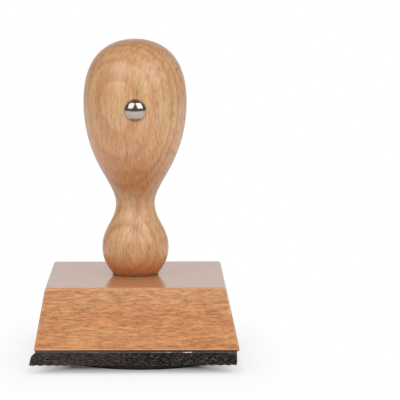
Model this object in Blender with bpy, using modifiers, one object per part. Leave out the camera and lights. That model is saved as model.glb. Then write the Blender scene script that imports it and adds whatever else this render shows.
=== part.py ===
"""A craft stamp: a turned beech handle screwed to a sloped beech block, with a foam cushion
and a rubber die bonded under it.

Units are metres. +Z is up and -Y is the front, the side of the handle that carries the stud.
The origin is on the printing face, on the handle's axis.
"""

import math

import bmesh
import bpy
import numpy
from mathutils import Matrix, Vector
from mathutils.geometry import interpolate_bezier

# Layers, from the paper upwards
RELIEF_HEIGHT = 0.0008
BACKING_THICKNESS = 0.0013
FILM_THICKNESS = 0.0002
FOAM_THICKNESS = 0.0035
BLOCK_HEIGHT = 0.0177
BOND_GAP = 0.0001

# Block: a beech slab whose four sides lean in towards the top, the left one a little less and
# the right one a little more, and which stands a little to the right of the handle's axis
BLOCK_WIDTH = 0.0580
BLOCK_DEPTH = 0.0704
BLOCK_OFFSET_X = 0.00065
BLOCK_LEAN = 0.00355
BLOCK_LEAN_LEFT = 0.0032
BLOCK_LEAN_RIGHT = 0.0040
BLOCK_EDGE_ROUND = 0.0004

# Foam cushion: cut by hand, so each side stands in or out from the block by its own amount, and
# the left cut splays out below at its front end
FOAM_INSET_FRONT = 0.0003
FOAM_INSET_BACK = 0.0007
FOAM_INSET_RIGHT = 0.0009
FOAM_INSET_LEFT = 0.0004
FOAM_SPLAY_LEFT = 0.0017

# Rubber die: an oval backing, set a little to the right of the handle's axis
DIE_WIDTH = 0.0500
DIE_LENGTH = 0.0556
DIE_OFFSET_X = 0.0020

# Relief: an eight-petal rosette between leaf sprigs, inside a ring of beads and an oval line
BORDER_MARGIN = 0.0007
BORDER_LINE = 0.0010
BEAD_COUNT = 32
BEAD_RADIUS = 0.0007
BEAD_GAP = 0.0009
EYE_RADIUS = 0.0034
PETAL_COUNT = 8
PETAL_START = 0.0046
PETAL_LENGTH = 0.0094
PETAL_WIDTH = 0.0056
PETAL_LINE = 0.0008
LEAF_LENGTH = 0.0064
LEAF_WIDTH = 0.0030
LEAF_SPREAD_DEG = 62.0
SPRIG_GAP = 0.0010
RELIEF_BITE = 0.0003

# Handle: radii and heights of its stations, measured from the foot
HANDLE_HEIGHT = 0.0690
FOOT_RADIUS = 0.00675
FOOT_RIM = 0.0004
BALL_RADIUS = 0.00971
BALL_HEIGHT = 0.0080
NECK_RADIUS = 0.00567
NECK_HEIGHT = 0.0208
BULB_RADIUS = 0.01506
BULB_HEIGHT = 0.0509

# Fullness of the curves between stations, as shares of the rise or of the radius
FOOT_LEAN_SHARE = 0.35
FOOT_RISE_SHARE = 0.18
BALL_LOWER_SHARE = 0.52
BALL_UPPER_SHARE = 0.45
NECK_LOWER_SHARE = 0.38
NECK_UPPER_SHARE = 0.22
BULB_LOWER_SHARE = 0.60
BULB_UPPER_SHARE = 0.83
CROWN_SHARE = 0.41

# Stud: a domed steel nail that marks the front, driven in a little to the right of it
STUD_OFFSET_X = 0.0002
STUD_HEIGHT = 0.0489
STUD_RADIUS = 0.00315
STUD_DOME = 0.0019
STUD_SINK = 0.0003
STUD_SHANK_RADIUS = 0.0009
STUD_SHANK_LENGTH = 0.0080

# Screw: a countersunk wood screw driven up through the block into the handle
SCREW_LENGTH = 0.0300
SCREW_HEAD_RADIUS = 0.0037
SCREW_HEAD_RIM = 0.0004
SCREW_SHANK_RADIUS = 0.0019
SCREW_CORE_RADIUS = 0.0014
SCREW_THREAD_RADIUS = 0.0020
SCREW_THREAD_LENGTH = 0.0162
SCREW_PITCH = 0.0018
THREAD_RIDGE_WIDTH = 0.0009
SCREW_TIP_LENGTH = 0.0030
SCREW_SINK = 0.0004
RECESS_SPAN = 0.0040
RECESS_SLOT = 0.0009
RECESS_DEPTH = 0.0018
HOLE_CLEARANCE = 0.0002

# Smoothness of the curves
PROFILE_STEPS = 8
HANDLE_SEGMENTS = 40
SMALL_SEGMENTS = 24
THREAD_SEGMENTS = 14
OVAL_STEPS = 14
LEAF_STEPS = 5
PETAL_STEPS = 7
BEAD_STEPS = 2
DOME_STEPS = 7
SHARP_ANGLE_DEG = 40.0

# Heights that follow from the layers
BACKING_TOP = RELIEF_HEIGHT + BACKING_THICKNESS
LOWER_FILM_BOTTOM = BACKING_TOP + BOND_GAP
FOAM_BOTTOM = LOWER_FILM_BOTTOM + FILM_THICKNESS + BOND_GAP
FOAM_TOP = FOAM_BOTTOM + FOAM_THICKNESS
UPPER_FILM_BOTTOM = FOAM_TOP + BOND_GAP
BLOCK_BOTTOM = UPPER_FILM_BOTTOM + FILM_THICKNESS + BOND_GAP
BLOCK_TOP = BLOCK_BOTTOM + BLOCK_HEIGHT
FOOT_BOTTOM = BLOCK_TOP + BOND_GAP
SCREW_BOTTOM = BLOCK_BOTTOM + SCREW_SINK

# The block's lower corners
BLOCK_LEFT = BLOCK_OFFSET_X - BLOCK_WIDTH / 2.0
BLOCK_RIGHT = BLOCK_OFFSET_X + BLOCK_WIDTH / 2.0

# The beads' centres, in from the outer edge of the oval line
BEAD_INSET = BORDER_LINE + BEAD_GAP + BEAD_RADIUS

QUARTER_ARC = 4.0 / 3.0 * (math.sqrt(2.0) - 1.0)
MERGE = 0.00001
DRAWN_SCALE = 1000.0

# Colour, roughness and metallic value of each material
BEECH = ("beech", (0.56, 0.31, 0.17), 0.40, 0.0)
POLISHED_STEEL = ("polished_steel", (0.62, 0.61, 0.60), 0.08, 1.0)
ZINC = ("zinc_plate", (0.55, 0.56, 0.58), 0.32, 1.0)
FOAM = ("charcoal_foam", (0.045, 0.038, 0.035), 0.95, 0.0)
RUBBER = ("black_rubber", (0.028, 0.028, 0.030), 0.62, 0.0)
FILM = ("adhesive_film", (0.62, 0.58, 0.52), 0.45, 0.0)


def clear_scene():
    """Empties the scene and returns the collections for the parts and for the cutters."""
    for obj in list(bpy.data.objects):
        bpy.data.objects.remove(obj, do_unlink=True)
    parts = bpy.data.collections.new("craft_stamp")
    cutters = bpy.data.collections.new("cutters")
    bpy.context.scene.collection.children.link(parts)
    bpy.context.scene.collection.children.link(cutters)
    return parts, cutters


PARTS, CUTTERS = clear_scene()


def material(spec):
    """A Principled material from (name, colour, roughness, metallic), made once."""
    name, colour, roughness, metallic = spec
    found = bpy.data.materials.get(name)
    if found:
        return found
    made = bpy.data.materials.new(name)
    made.use_nodes = True
    shader = made.node_tree.nodes["Principled BSDF"]
    shader.inputs["Base Color"].default_value = (*colour, 1.0)
    shader.inputs["Roughness"].default_value = roughness
    shader.inputs["Metallic"].default_value = metallic
    made.diffuse_color = (*colour, 1.0)
    return made


def part(name, data, spec):
    """An object of the stamp, with its material."""
    obj = bpy.data.objects.new(name, data)
    PARTS.objects.link(obj)
    data.materials.append(material(spec))
    return obj


def cutter(name, mesh):
    """A helper that only cuts or joins other pieces."""
    obj = bpy.data.objects.new(name, mesh)
    CUTTERS.objects.link(obj)
    obj.hide_render = True
    obj.display_type = "WIRE"
    return obj


def boolean(obj, operation, other):
    step = obj.modifiers.new(f"{operation.lower()}_{other.name}", "BOOLEAN")
    step.operation = operation
    step.object = other


def bevel(obj, width):
    step = obj.modifiers.new("edge_round", "BEVEL")
    step.width = width
    step.segments = 2
    step.limit_method = "ANGLE"


def smooth(mesh):
    mesh.shade_smooth()
    mesh.set_sharp_from_angle(angle=math.radians(SHARP_ANGLE_DEG))


def evaluated_mesh(obj):
    """The object's shape where it stands, with its modifiers applied, welded and facing out."""
    bpy.context.view_layer.update()
    graph = bpy.context.evaluated_depsgraph_get()
    mesh = bpy.data.meshes.new_from_object(obj.evaluated_get(graph))
    mesh.transform(obj.matrix_world)
    work = bmesh.new()
    work.from_mesh(mesh)
    bmesh.ops.remove_doubles(work, verts=work.verts, dist=MERGE)
    bmesh.ops.recalc_face_normals(work, faces=work.faces)
    work.to_mesh(mesh)
    work.free()
    return mesh


def cylinder(name, radius, bottom, top):
    """A cylinder on the Z axis, as a mesh."""
    mesh = bpy.data.meshes.new(name)
    work = bmesh.new()
    bmesh.ops.create_cone(
        work,
        cap_ends=True,
        segments=SMALL_SEGMENTS,
        radius1=radius,
        radius2=radius,
        depth=top - bottom,
        matrix=Matrix.Translation((0.0, 0.0, (bottom + top) / 2.0)),
    )
    work.to_mesh(mesh)
    work.free()
    return mesh


def turned_mesh(name, profile, segments):
    """A solid of revolution about Z. The profile is (radius, height) pairs, from the top down."""
    outline = bpy.data.meshes.new(name)
    points = [(radius, 0.0, height) for radius, height in profile]
    edges = [(i, i + 1) for i in range(len(points) - 1)]
    outline.from_pydata(points, edges, [])
    lathe = cutter(name + "_lathe", outline)
    turn = lathe.modifiers.new("turn", "SCREW")
    turn.steps = segments
    turn.render_steps = segments
    turn.use_merge_vertices = True
    turn.merge_threshold = MERGE
    mesh = evaluated_mesh(lathe)
    bpy.data.objects.remove(lathe, do_unlink=True)
    mesh.name = name
    return mesh


def corner_block(name, bottom_corners, top_corners, bottom, top):
    """A box whose corners are moved to the given x, y places, as a mesh."""
    mesh = bpy.data.meshes.new(name)
    work = bmesh.new()
    bmesh.ops.create_cube(work, size=1.0)
    for vert in work.verts:
        side = "right" if vert.co.x > 0.0 else "left"
        end = "back" if vert.co.y > 0.0 else "front"
        corners = top_corners if vert.co.z > 0.0 else bottom_corners
        x, y = corners[side, end]
        vert.co = Vector((x, y, top if vert.co.z > 0.0 else bottom))
    work.to_mesh(mesh)
    work.free()
    return mesh


def rectangle(left, right, front, back):
    """The four corners of a rectangle, by name."""
    return {
        ("left", "front"): (left, front),
        ("right", "front"): (right, front),
        ("left", "back"): (left, back),
        ("right", "back"): (right, back),
    }


def bezier_points(*controls):
    """Points along one cubic curve, without its last one, which starts the next curve."""
    knots = [Vector(point) for point in controls]
    return interpolate_bezier(*knots, PROFILE_STEPS + 1)[:-1]


def handle_profile():
    """The handle's outline as (radius, height above the foot), from the crown down to the axis."""
    crown_rise = HANDLE_HEIGHT - BULB_HEIGHT
    neck_rise = BULB_HEIGHT - NECK_HEIGHT
    ball_rise = NECK_HEIGHT - BALL_HEIGHT
    foot_rise = BALL_HEIGHT - FOOT_RIM
    crown = bezier_points(
        (0.0, HANDLE_HEIGHT),
        (CROWN_SHARE * BULB_RADIUS, HANDLE_HEIGHT),
        (BULB_RADIUS, BULB_HEIGHT + BULB_UPPER_SHARE * crown_rise),
        (BULB_RADIUS, BULB_HEIGHT),
    )
    bulb = bezier_points(
        (BULB_RADIUS, BULB_HEIGHT),
        (BULB_RADIUS, BULB_HEIGHT - BULB_LOWER_SHARE * neck_rise),
        (NECK_RADIUS, NECK_HEIGHT + NECK_UPPER_SHARE * neck_rise),
        (NECK_RADIUS, NECK_HEIGHT),
    )
    ball = bezier_points(
        (NECK_RADIUS, NECK_HEIGHT),
        (NECK_RADIUS, NECK_HEIGHT - NECK_LOWER_SHARE * ball_rise),
        (BALL_RADIUS, BALL_HEIGHT + BALL_UPPER_SHARE * ball_rise),
        (BALL_RADIUS, BALL_HEIGHT),
    )
    foot = bezier_points(
        (BALL_RADIUS, BALL_HEIGHT),
        (BALL_RADIUS, BALL_HEIGHT - BALL_LOWER_SHARE * foot_rise),
        (
            FOOT_RADIUS + FOOT_LEAN_SHARE * (BALL_RADIUS - FOOT_RADIUS),
            FOOT_RIM + FOOT_RISE_SHARE * foot_rise,
        ),
        (FOOT_RADIUS, FOOT_RIM),
    )
    rim = [Vector((FOOT_RADIUS, FOOT_RIM)), Vector((FOOT_RADIUS, 0.0)), Vector((0.0, 0.0))]
    return [tuple(point) for point in crown + bulb + ball + foot + rim]


def handle_radius(height):
    """The handle's radius at a height above its foot."""
    radii, heights = zip(*reversed(handle_profile()))
    return float(numpy.interp(height, heights, radii))


STUD_SEAT_Y = -(handle_radius(STUD_HEIGHT) - STUD_SINK)
TOWARDS_FRONT = Matrix.Rotation(math.radians(90.0), 4, "X")


def stud_place(y):
    """Stands a shape on the Z axis out of the handle's front instead, with its base at y."""
    return Matrix.Translation((STUD_OFFSET_X, y, FOOT_BOTTOM + STUD_HEIGHT)) @ TOWARDS_FRONT


def make_handle():
    """Beech, turned in one piece, with a pilot hole in its foot and a pocket for the stud."""
    mesh = turned_mesh("handle", handle_profile(), HANDLE_SEGMENTS)
    smooth(mesh)
    handle = part("handle", mesh, BEECH)
    handle.location.z = FOOT_BOTTOM

    reach = SCREW_BOTTOM + SCREW_LENGTH + HOLE_CLEARANCE
    pilot = cylinder("pilot_hole", SCREW_THREAD_RADIUS + HOLE_CLEARANCE, BLOCK_TOP - BOND_GAP, reach)
    boolean(handle, "DIFFERENCE", cutter("pilot_hole", pilot))

    pocket = cutter(
        "stud_pocket",
        cylinder("stud_pocket", STUD_RADIUS + HOLE_CLEARANCE, -BOND_GAP, STUD_DOME),
    )
    pocket.matrix_world = stud_place(STUD_SEAT_Y)
    boolean(handle, "DIFFERENCE", pocket)
    depth = STUD_SHANK_LENGTH + HOLE_CLEARANCE
    nail_hole = cutter(
        "nail_hole",
        cylinder("nail_hole", STUD_SHANK_RADIUS + HOLE_CLEARANCE, -depth, STUD_DOME / 2.0),
    )
    nail_hole.matrix_world = stud_place(STUD_SEAT_Y)
    boolean(handle, "DIFFERENCE", nail_hole)


def make_stud():
    """A domed head on a plain nail shank, pressed into the handle's front."""
    dome = []
    for i in range(DOME_STEPS + 1):
        angle = math.radians(90.0) * (1.0 - i / DOME_STEPS)
        dome.append((STUD_RADIUS * math.cos(angle), STUD_DOME * math.sin(angle)))
    shank = [
        (STUD_SHANK_RADIUS, 0.0),
        (STUD_SHANK_RADIUS, -STUD_SHANK_LENGTH + STUD_SHANK_RADIUS),
        (0.0, -STUD_SHANK_LENGTH),
    ]
    mesh = turned_mesh("orientation_stud", dome + shank, SMALL_SEGMENTS)
    smooth(mesh)
    stud = part("orientation_stud", mesh, POLISHED_STEEL)
    stud.matrix_world = stud_place(STUD_SEAT_Y)


def head_profile(clearance):
    """The countersunk head's outline above the screw's lowest point, wider by the clearance."""
    cone = SCREW_HEAD_RADIUS - SCREW_SHANK_RADIUS
    return [
        (SCREW_SHANK_RADIUS + clearance, SCREW_HEAD_RIM + cone),
        (SCREW_HEAD_RADIUS + clearance, SCREW_HEAD_RIM),
    ]


def make_block():
    """Beech, planed to lean in on all four sides, drilled and countersunk for the screw."""
    half_y = BLOCK_DEPTH / 2.0
    bottom = rectangle(BLOCK_LEFT, BLOCK_RIGHT, -half_y, half_y)
    top_y = half_y - BLOCK_LEAN
    top = rectangle(BLOCK_LEFT + BLOCK_LEAN_LEFT, BLOCK_RIGHT - BLOCK_LEAN_RIGHT, -top_y, top_y)
    block = part(
        "mounting_block",
        corner_block("mounting_block", bottom, top, BLOCK_BOTTOM, BLOCK_TOP),
        BEECH,
    )
    bevel(block, BLOCK_EDGE_ROUND)

    hole_radius = SCREW_THREAD_RADIUS + HOLE_CLEARANCE
    hole = cylinder("screw_hole", hole_radius, BLOCK_BOTTOM - BOND_GAP, BLOCK_TOP + BOND_GAP)
    boolean(block, "DIFFERENCE", cutter("screw_hole", hole))
    neck, rim = head_profile(HOLE_CLEARANCE)
    mouth = -SCREW_SINK - BOND_GAP
    sink = [(0.0, neck[1]), neck, rim, (rim[0], mouth), (0.0, mouth)]
    countersink = cutter("countersink", turned_mesh("countersink", sink, SMALL_SEGMENTS))
    countersink.location.z = SCREW_BOTTOM
    boolean(block, "DIFFERENCE", countersink)


def thread_mesh():
    """The screw's thread: one ridge wound up the core, closed at both ends."""
    root = SCREW_CORE_RADIUS - BOND_GAP
    half_ridge = THREAD_RIDGE_WIDTH / 2.0
    start = SCREW_LENGTH - SCREW_TIP_LENGTH - SCREW_THREAD_LENGTH
    outline = [
        (root, 0.0, start - half_ridge),
        (SCREW_THREAD_RADIUS, 0.0, start),
        (root, 0.0, start + half_ridge),
    ]
    mesh = bpy.data.meshes.new("thread_outline")
    mesh.from_pydata(outline, [(0, 1), (1, 2), (2, 0)], [])
    ridge = cutter("thread_outline", mesh)
    wind = ridge.modifiers.new("wind", "SCREW")
    wind.steps = THREAD_SEGMENTS
    wind.render_steps = THREAD_SEGMENTS
    wind.screw_offset = SCREW_PITCH
    wind.iterations = round(SCREW_THREAD_LENGTH / SCREW_PITCH)
    wound = evaluated_mesh(ridge)
    bpy.data.objects.remove(ridge, do_unlink=True)
    work = bmesh.new()
    work.from_mesh(wound)
    open_edges = [edge for edge in work.edges if edge.is_boundary]
    bmesh.ops.holes_fill(work, edges=open_edges, sides=len(outline))
    bmesh.ops.recalc_face_normals(work, faces=work.faces)
    work.to_mesh(wound)
    work.free()
    return wound


def make_screw():
    """A zinc-plated wood screw with a cross recess, its head sunk under the block's lower face."""
    thread_start = SCREW_LENGTH - SCREW_TIP_LENGTH - SCREW_THREAD_LENGTH
    profile = [
        (0.0, SCREW_LENGTH),
        (SCREW_CORE_RADIUS, SCREW_LENGTH - SCREW_TIP_LENGTH),
        (SCREW_CORE_RADIUS, thread_start),
        (SCREW_SHANK_RADIUS, thread_start - (SCREW_SHANK_RADIUS - SCREW_CORE_RADIUS)),
        *head_profile(0.0),
        (SCREW_HEAD_RADIUS, 0.0),
        (0.0, 0.0),
    ]
    mesh = turned_mesh("handle_screw", profile, SMALL_SEGMENTS)
    smooth(mesh)
    screw = part("handle_screw", mesh, ZINC)
    screw.location.z = SCREW_BOTTOM
    thread = cutter("thread", thread_mesh())
    thread.location.z = SCREW_BOTTOM
    boolean(screw, "UNION", thread)

    half_span = RECESS_SPAN / 2.0
    half_slot = RECESS_SLOT / 2.0
    floor = rectangle(-half_slot, half_slot, -half_slot, half_slot)
    for name, x, y in (("recess_x", half_span, half_slot), ("recess_y", half_slot, half_span)):
        mouth = rectangle(-x, x, -y, y)
        slot = cutter(name, corner_block(name, mouth, floor, -BOND_GAP, RECESS_DEPTH))
        slot.location.z = SCREW_BOTTOM
        boolean(screw, "DIFFERENCE", slot)


def foam_outline():
    """The foam's corners at its top, and at its bottom, where the left cut starts further out."""
    front = -BLOCK_DEPTH / 2.0 + FOAM_INSET_FRONT
    back = BLOCK_DEPTH / 2.0 - FOAM_INSET_BACK
    right = BLOCK_RIGHT - FOAM_INSET_RIGHT
    left = BLOCK_LEFT + FOAM_INSET_LEFT
    bottom = rectangle(left, right, front, back)
    bottom["left", "front"] = (left - FOAM_SPLAY_LEFT, front)
    return rectangle(left, right, front, back), bottom


def make_cushion():
    """Charcoal foam, knife-cut, between two thin adhesive films."""
    top, bottom = foam_outline()
    part("foam_cushion", corner_block("foam_cushion", bottom, top, FOAM_BOTTOM, FOAM_TOP), FOAM)
    film_top = UPPER_FILM_BOTTOM + FILM_THICKNESS
    film = corner_block("upper_adhesive_film", top, top, UPPER_FILM_BOTTOM, film_top)
    part("upper_adhesive_film", film, FILM)


def flat_curve(name, thickness):
    """A flat outline whose closed splines are filled, and that is as thick as given.

    It is drawn in millimetres, where Blender's fill keeps points this close apart.
    """
    curve = bpy.data.curves.new(name, "CURVE")
    curve.dimensions = "2D"
    curve.fill_mode = "BOTH"
    curve.extrude = DRAWN_SCALE * thickness / 2.0
    return curve


def closed_spline(curve, points, steps):
    """Adds one closed Bezier spline from (point, handle in, handle out) triples."""
    spline = curve.splines.new("BEZIER")
    spline.bezier_points.add(len(points) - 1)
    spline.use_cyclic_u = True
    spline.resolution_u = steps
    for place, (point, pull_in, pull_out) in zip(spline.bezier_points, points):
        place.handle_left_type = "FREE"
        place.handle_right_type = "FREE"
        place.co = (*(point * DRAWN_SCALE), 0.0)
        place.handle_left = (*(pull_in * DRAWN_SCALE), 0.0)
        place.handle_right = (*(pull_out * DRAWN_SCALE), 0.0)


def add_oval(curve, centre, half_x, half_y, steps):
    """An oval of four equal arcs."""
    points = []
    for i in range(4):
        angle = math.radians(90.0 * i)
        out = Vector((half_x * math.cos(angle), half_y * math.sin(angle)))
        along = Vector((-half_x * math.sin(angle), half_y * math.cos(angle))) * QUARTER_ARC
        at = Vector(centre) + out
        points.append((at, at - along, at + along))
    closed_spline(curve, points, steps)


def add_leaf(curve, root, angle, length, width, steps):
    """A pointed leaf from its root, along the angle from +X."""
    along = Vector((math.cos(angle), math.sin(angle)))
    across = Vector((-along.y, along.x))
    root = Vector(root)
    tip = root + along * length
    pull = along * (length / 3.0)
    bulge = across * (width / 1.5)
    points = [
        (root, root + pull + bulge, root + pull - bulge),
        (tip, tip - pull - bulge, tip - pull + bulge),
    ]
    closed_spline(curve, points, steps)


def add_border(curve):
    """The oval line near the die's rim and the ring of beads inside it."""
    line_x = DIE_WIDTH / 2.0 - BORDER_MARGIN
    line_y = DIE_LENGTH / 2.0 - BORDER_MARGIN
    add_oval(curve, (0.0, 0.0), line_x, line_y, OVAL_STEPS)
    add_oval(curve, (0.0, 0.0), line_x - BORDER_LINE, line_y - BORDER_LINE, OVAL_STEPS)
    for i in range(BEAD_COUNT):
        angle = 2.0 * math.pi * i / BEAD_COUNT
        x = (line_x - BEAD_INSET) * math.cos(angle)
        y = (line_y - BEAD_INSET) * math.sin(angle)
        add_oval(curve, (x, y), BEAD_RADIUS, BEAD_RADIUS, BEAD_STEPS)


def add_rosette(curve):
    """A solid eye and a ring of petals drawn as outlines."""
    add_oval(curve, (0.0, 0.0), EYE_RADIUS, EYE_RADIUS, OVAL_STEPS // 2)
    for i in range(PETAL_COUNT):
        angle = 2.0 * math.pi * (i + 0.5) / PETAL_COUNT
        along = Vector((math.cos(angle), math.sin(angle)))
        add_leaf(curve, along * PETAL_START, angle, PETAL_LENGTH, PETAL_WIDTH, PETAL_STEPS)
        end_line = PETAL_LINE * PETAL_LENGTH / PETAL_WIDTH
        inner_root = along * (PETAL_START + end_line)
        inner_length = PETAL_LENGTH - 2.0 * end_line
        inner_width = PETAL_WIDTH - 2.0 * PETAL_LINE
        add_leaf(curve, inner_root, angle, inner_length, inner_width, PETAL_STEPS)


def add_sprigs(curve):
    """Three solid leaves at each end of the oval, with their tips just inside the beads."""
    spread = math.radians(LEAF_SPREAD_DEG)
    bead_y = DIE_LENGTH / 2.0 - BORDER_MARGIN - BEAD_INSET
    fan_y = bead_y - BEAD_RADIUS - SPRIG_GAP - LEAF_LENGTH - LEAF_WIDTH / 2.0
    for end in (-1.0, 1.0):
        for turn in (-spread, 0.0, spread):
            angle = end * math.pi / 2.0 + turn
            out = Vector((math.cos(angle), math.sin(angle))) * (LEAF_WIDTH / 2.0)
            root = out + Vector((0.0, end * fan_y))
            add_leaf(curve, root, angle, LEAF_LENGTH, LEAF_WIDTH, LEAF_STEPS)


def curve_mesh(curve, centre_z):
    """The mesh of a flat curve, centred on the die and at the given height."""
    obj = cutter(curve.name, curve)
    obj.scale = (1.0 / DRAWN_SCALE,) * 3
    obj.location = (DIE_OFFSET_X, 0.0, centre_z)
    mesh = evaluated_mesh(obj)
    bpy.data.objects.remove(obj, do_unlink=True)
    return mesh


def die_plate(name, bottom, thickness):
    """An oval plate of the die's outline."""
    curve = flat_curve(name, thickness)
    add_oval(curve, (0.0, 0.0), DIE_WIDTH / 2.0, DIE_LENGTH / 2.0, OVAL_STEPS)
    return curve_mesh(curve, bottom + thickness / 2.0)


def make_die():
    """Black rubber: a plain oval backing with the raised design under it, and its film on top."""
    die = part("rubber_die", die_plate("rubber_die", RELIEF_HEIGHT, BACKING_THICKNESS), RUBBER)
    relief_thickness = RELIEF_HEIGHT + RELIEF_BITE
    curve = flat_curve("relief", relief_thickness)
    add_border(curve)
    add_rosette(curve)
    add_sprigs(curve)
    relief = cutter("relief", curve_mesh(curve, relief_thickness / 2.0))
    boolean(die, "UNION", relief)
    film = die_plate("lower_adhesive_film", LOWER_FILM_BOTTOM, FILM_THICKNESS)
    part("lower_adhesive_film", film, FILM)


make_handle()
make_stud()
make_block()
make_screw()
make_cushion()
make_die()
bpy.context.view_layer.update()
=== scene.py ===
"""The looks of a craft stamp: a turned beech handle on a sloped beech block, with a foam cushion
and a rubber die under it. Units are metres, +Z is up and -Y is the front.
"""

import math

import bmesh
import bpy
from mathutils import Matrix, Vector, noise
from mathutils.geometry import interpolate_bezier


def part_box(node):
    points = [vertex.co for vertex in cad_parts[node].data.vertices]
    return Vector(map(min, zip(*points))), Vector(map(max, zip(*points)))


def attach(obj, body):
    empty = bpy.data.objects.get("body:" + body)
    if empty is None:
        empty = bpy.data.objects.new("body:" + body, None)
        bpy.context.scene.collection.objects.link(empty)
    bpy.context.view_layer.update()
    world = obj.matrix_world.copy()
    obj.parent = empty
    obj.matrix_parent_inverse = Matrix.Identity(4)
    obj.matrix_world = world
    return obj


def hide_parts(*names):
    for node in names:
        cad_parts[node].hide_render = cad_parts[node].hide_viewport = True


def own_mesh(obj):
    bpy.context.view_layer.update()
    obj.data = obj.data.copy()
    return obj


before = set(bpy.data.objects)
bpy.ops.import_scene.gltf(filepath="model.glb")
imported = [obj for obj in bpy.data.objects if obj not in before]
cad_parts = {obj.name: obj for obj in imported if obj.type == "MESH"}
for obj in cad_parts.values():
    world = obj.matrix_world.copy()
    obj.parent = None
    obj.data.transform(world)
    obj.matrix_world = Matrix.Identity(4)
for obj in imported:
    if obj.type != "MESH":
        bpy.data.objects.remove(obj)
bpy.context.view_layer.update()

# Mounting block
# A slab of steamed beech, grain from left to right, planed so that all four sides lean in
# towards the top, the right one most. Its arrises are broken with fine paper and it carries a
# clear gloss lacquer. It is drilled and countersunk from below for the handle's screw.

MM = 0.001
block_low, block_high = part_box("mounting_block")
BEVEL_LOSS = 0.1 * MM
BLOCK_LEAN = 3.55 * MM
BLOCK_LEAN_LEFT = 3.2 * MM
BLOCK_LEAN_RIGHT = 4.0 * MM
LOWER_ARRIS_ROUND = 0.8 * MM
UPPER_ARRIS_SHARE = 0.7
ARRIS_STEPS = 4
SCREW_HOLE_RADIUS = 2.2 * MM
COUNTERSINK_RADIUS = 3.9 * MM
COUNTERSINK_DEPTH = 2.6 * MM
DRILL_SEGMENTS = 48


def shown(red, green, blue):
    """A colour given as a screen shows it, from 0 to 255, in linear light."""
    linear = []
    for channel in (red, green, blue):
        share = channel / 255.0
        linear.append(share / 12.92 if share <= 0.04045 else ((share + 0.055) / 1.055) ** 2.4)
    return (*linear, 1.0)


def put_in_scene(name, mesh):
    """An object of the stamp, which stands where its mesh says."""
    made = bpy.data.objects.new(name, mesh)
    bpy.context.scene.collection.objects.link(made)
    return made


def finish_mesh(obj):
    """Applies the object's modifiers, so that its mesh is final."""
    bpy.context.view_layer.update()
    graph = bpy.context.evaluated_depsgraph_get()
    final = bpy.data.meshes.new_from_object(obj.evaluated_get(graph))
    obj.modifiers.clear()
    obj.data = final
    final.name = obj.name
    return obj


def shade_round(obj, angle_deg=35.0):
    obj.data.shade_smooth()
    obj.data.set_sharp_from_angle(angle=math.radians(angle_deg))


def turned_form(name, outline, segments):
    """A solid turned about the Z axis, from (radius, height) pairs, top to bottom."""
    mesh = bpy.data.meshes.new(name)
    work = bmesh.new()
    verts = [work.verts.new((radius, 0.0, height)) for radius, height in outline]
    edges = [work.edges.new(pair) for pair in zip(verts, verts[1:])]
    bmesh.ops.spin(
        work,
        geom=verts + edges,
        cent=(0.0, 0.0, 0.0),
        axis=(0.0, 0.0, 1.0),
        angle=math.tau,
        steps=segments,
        use_merge=True,
        use_duplicate=False,
    )
    bmesh.ops.remove_doubles(work, verts=work.verts, dist=0.001 * MM)
    bmesh.ops.recalc_face_normals(work, faces=work.faces)
    work.to_mesh(mesh)
    work.free()
    return put_in_scene(name, mesh)


def cut_away(obj, tool):
    """Cuts the tool's shape out of the object, then throws the tool away."""
    cut = obj.modifiers.new("cut", "BOOLEAN")
    cut.object = tool
    finish_mesh(obj)
    bpy.data.objects.remove(tool, do_unlink=True)


def planed_block():
    """The block's six flats, with the sides leaning in and the lower arrises rounded most. The
    solid's box ends where its arrises are already broken, so the flats meet a little outside it."""
    mesh = bpy.data.meshes.new("beech_block")
    work = bmesh.new()
    bmesh.ops.create_cube(work, size=1.0)
    spread = Vector((BEVEL_LOSS, BEVEL_LOSS, 0.0))
    low = block_low - spread
    high = block_high + spread
    for vert in work.verts:
        lean = 1.0 if vert.co.z > 0.0 else 0.0
        x = high.x - lean * BLOCK_LEAN_RIGHT if vert.co.x > 0.0 else low.x + lean * BLOCK_LEAN_LEFT
        y = high.y - lean * BLOCK_LEAN if vert.co.y > 0.0 else low.y + lean * BLOCK_LEAN
        z = high.z if vert.co.z > 0.0 else low.z
        vert.co = Vector((x, y, z))
    share = work.edges.layers.float.new("bevel_weight_edge")
    for edge in work.edges:
        is_lower = all(vert.co.z == low.z for vert in edge.verts)
        edge[share] = 1.0 if is_lower else UPPER_ARRIS_SHARE
    work.to_mesh(mesh)
    work.free()
    made = put_in_scene("beech_block", mesh)
    rounding = made.modifiers.new("rounding", "BEVEL")
    rounding.width = LOWER_ARRIS_ROUND
    rounding.segments = ARRIS_STEPS
    rounding.limit_method = "WEIGHT"
    rounding.harden_normals = True
    return made


block = planed_block()
drill_bottom = block_low.z - MM
drill = turned_form(
    "drill",
    [
        (0.0, block_high.z + MM),
        (SCREW_HOLE_RADIUS, block_high.z + MM),
        (SCREW_HOLE_RADIUS, block_low.z + COUNTERSINK_DEPTH),
        (COUNTERSINK_RADIUS, block_low.z + COUNTERSINK_DEPTH - COUNTERSINK_RADIUS + SCREW_HOLE_RADIUS),
        (COUNTERSINK_RADIUS, drill_bottom),
        (0.0, drill_bottom),
    ],
    DRILL_SEGMENTS,
)
cut_away(block, drill)


def add(tree, kind, inputs=None, **settings):
    """Adds a shader node. Its inputs take values or links, and its settings are its own."""
    made = tree.nodes.new("ShaderNode" + kind)
    for setting, value in settings.items():
        setattr(made, setting, value)
    for socket, value in (inputs or {}).items():
        if isinstance(value, bpy.types.NodeSocket):
            tree.links.new(value, made.inputs[socket])
        else:
            made.inputs[socket].default_value = value
    return made


def calc(tree, operation, *values):
    """One Math node's result."""
    return add(tree, "Math", dict(enumerate(values)), operation=operation).outputs[0]


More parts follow.
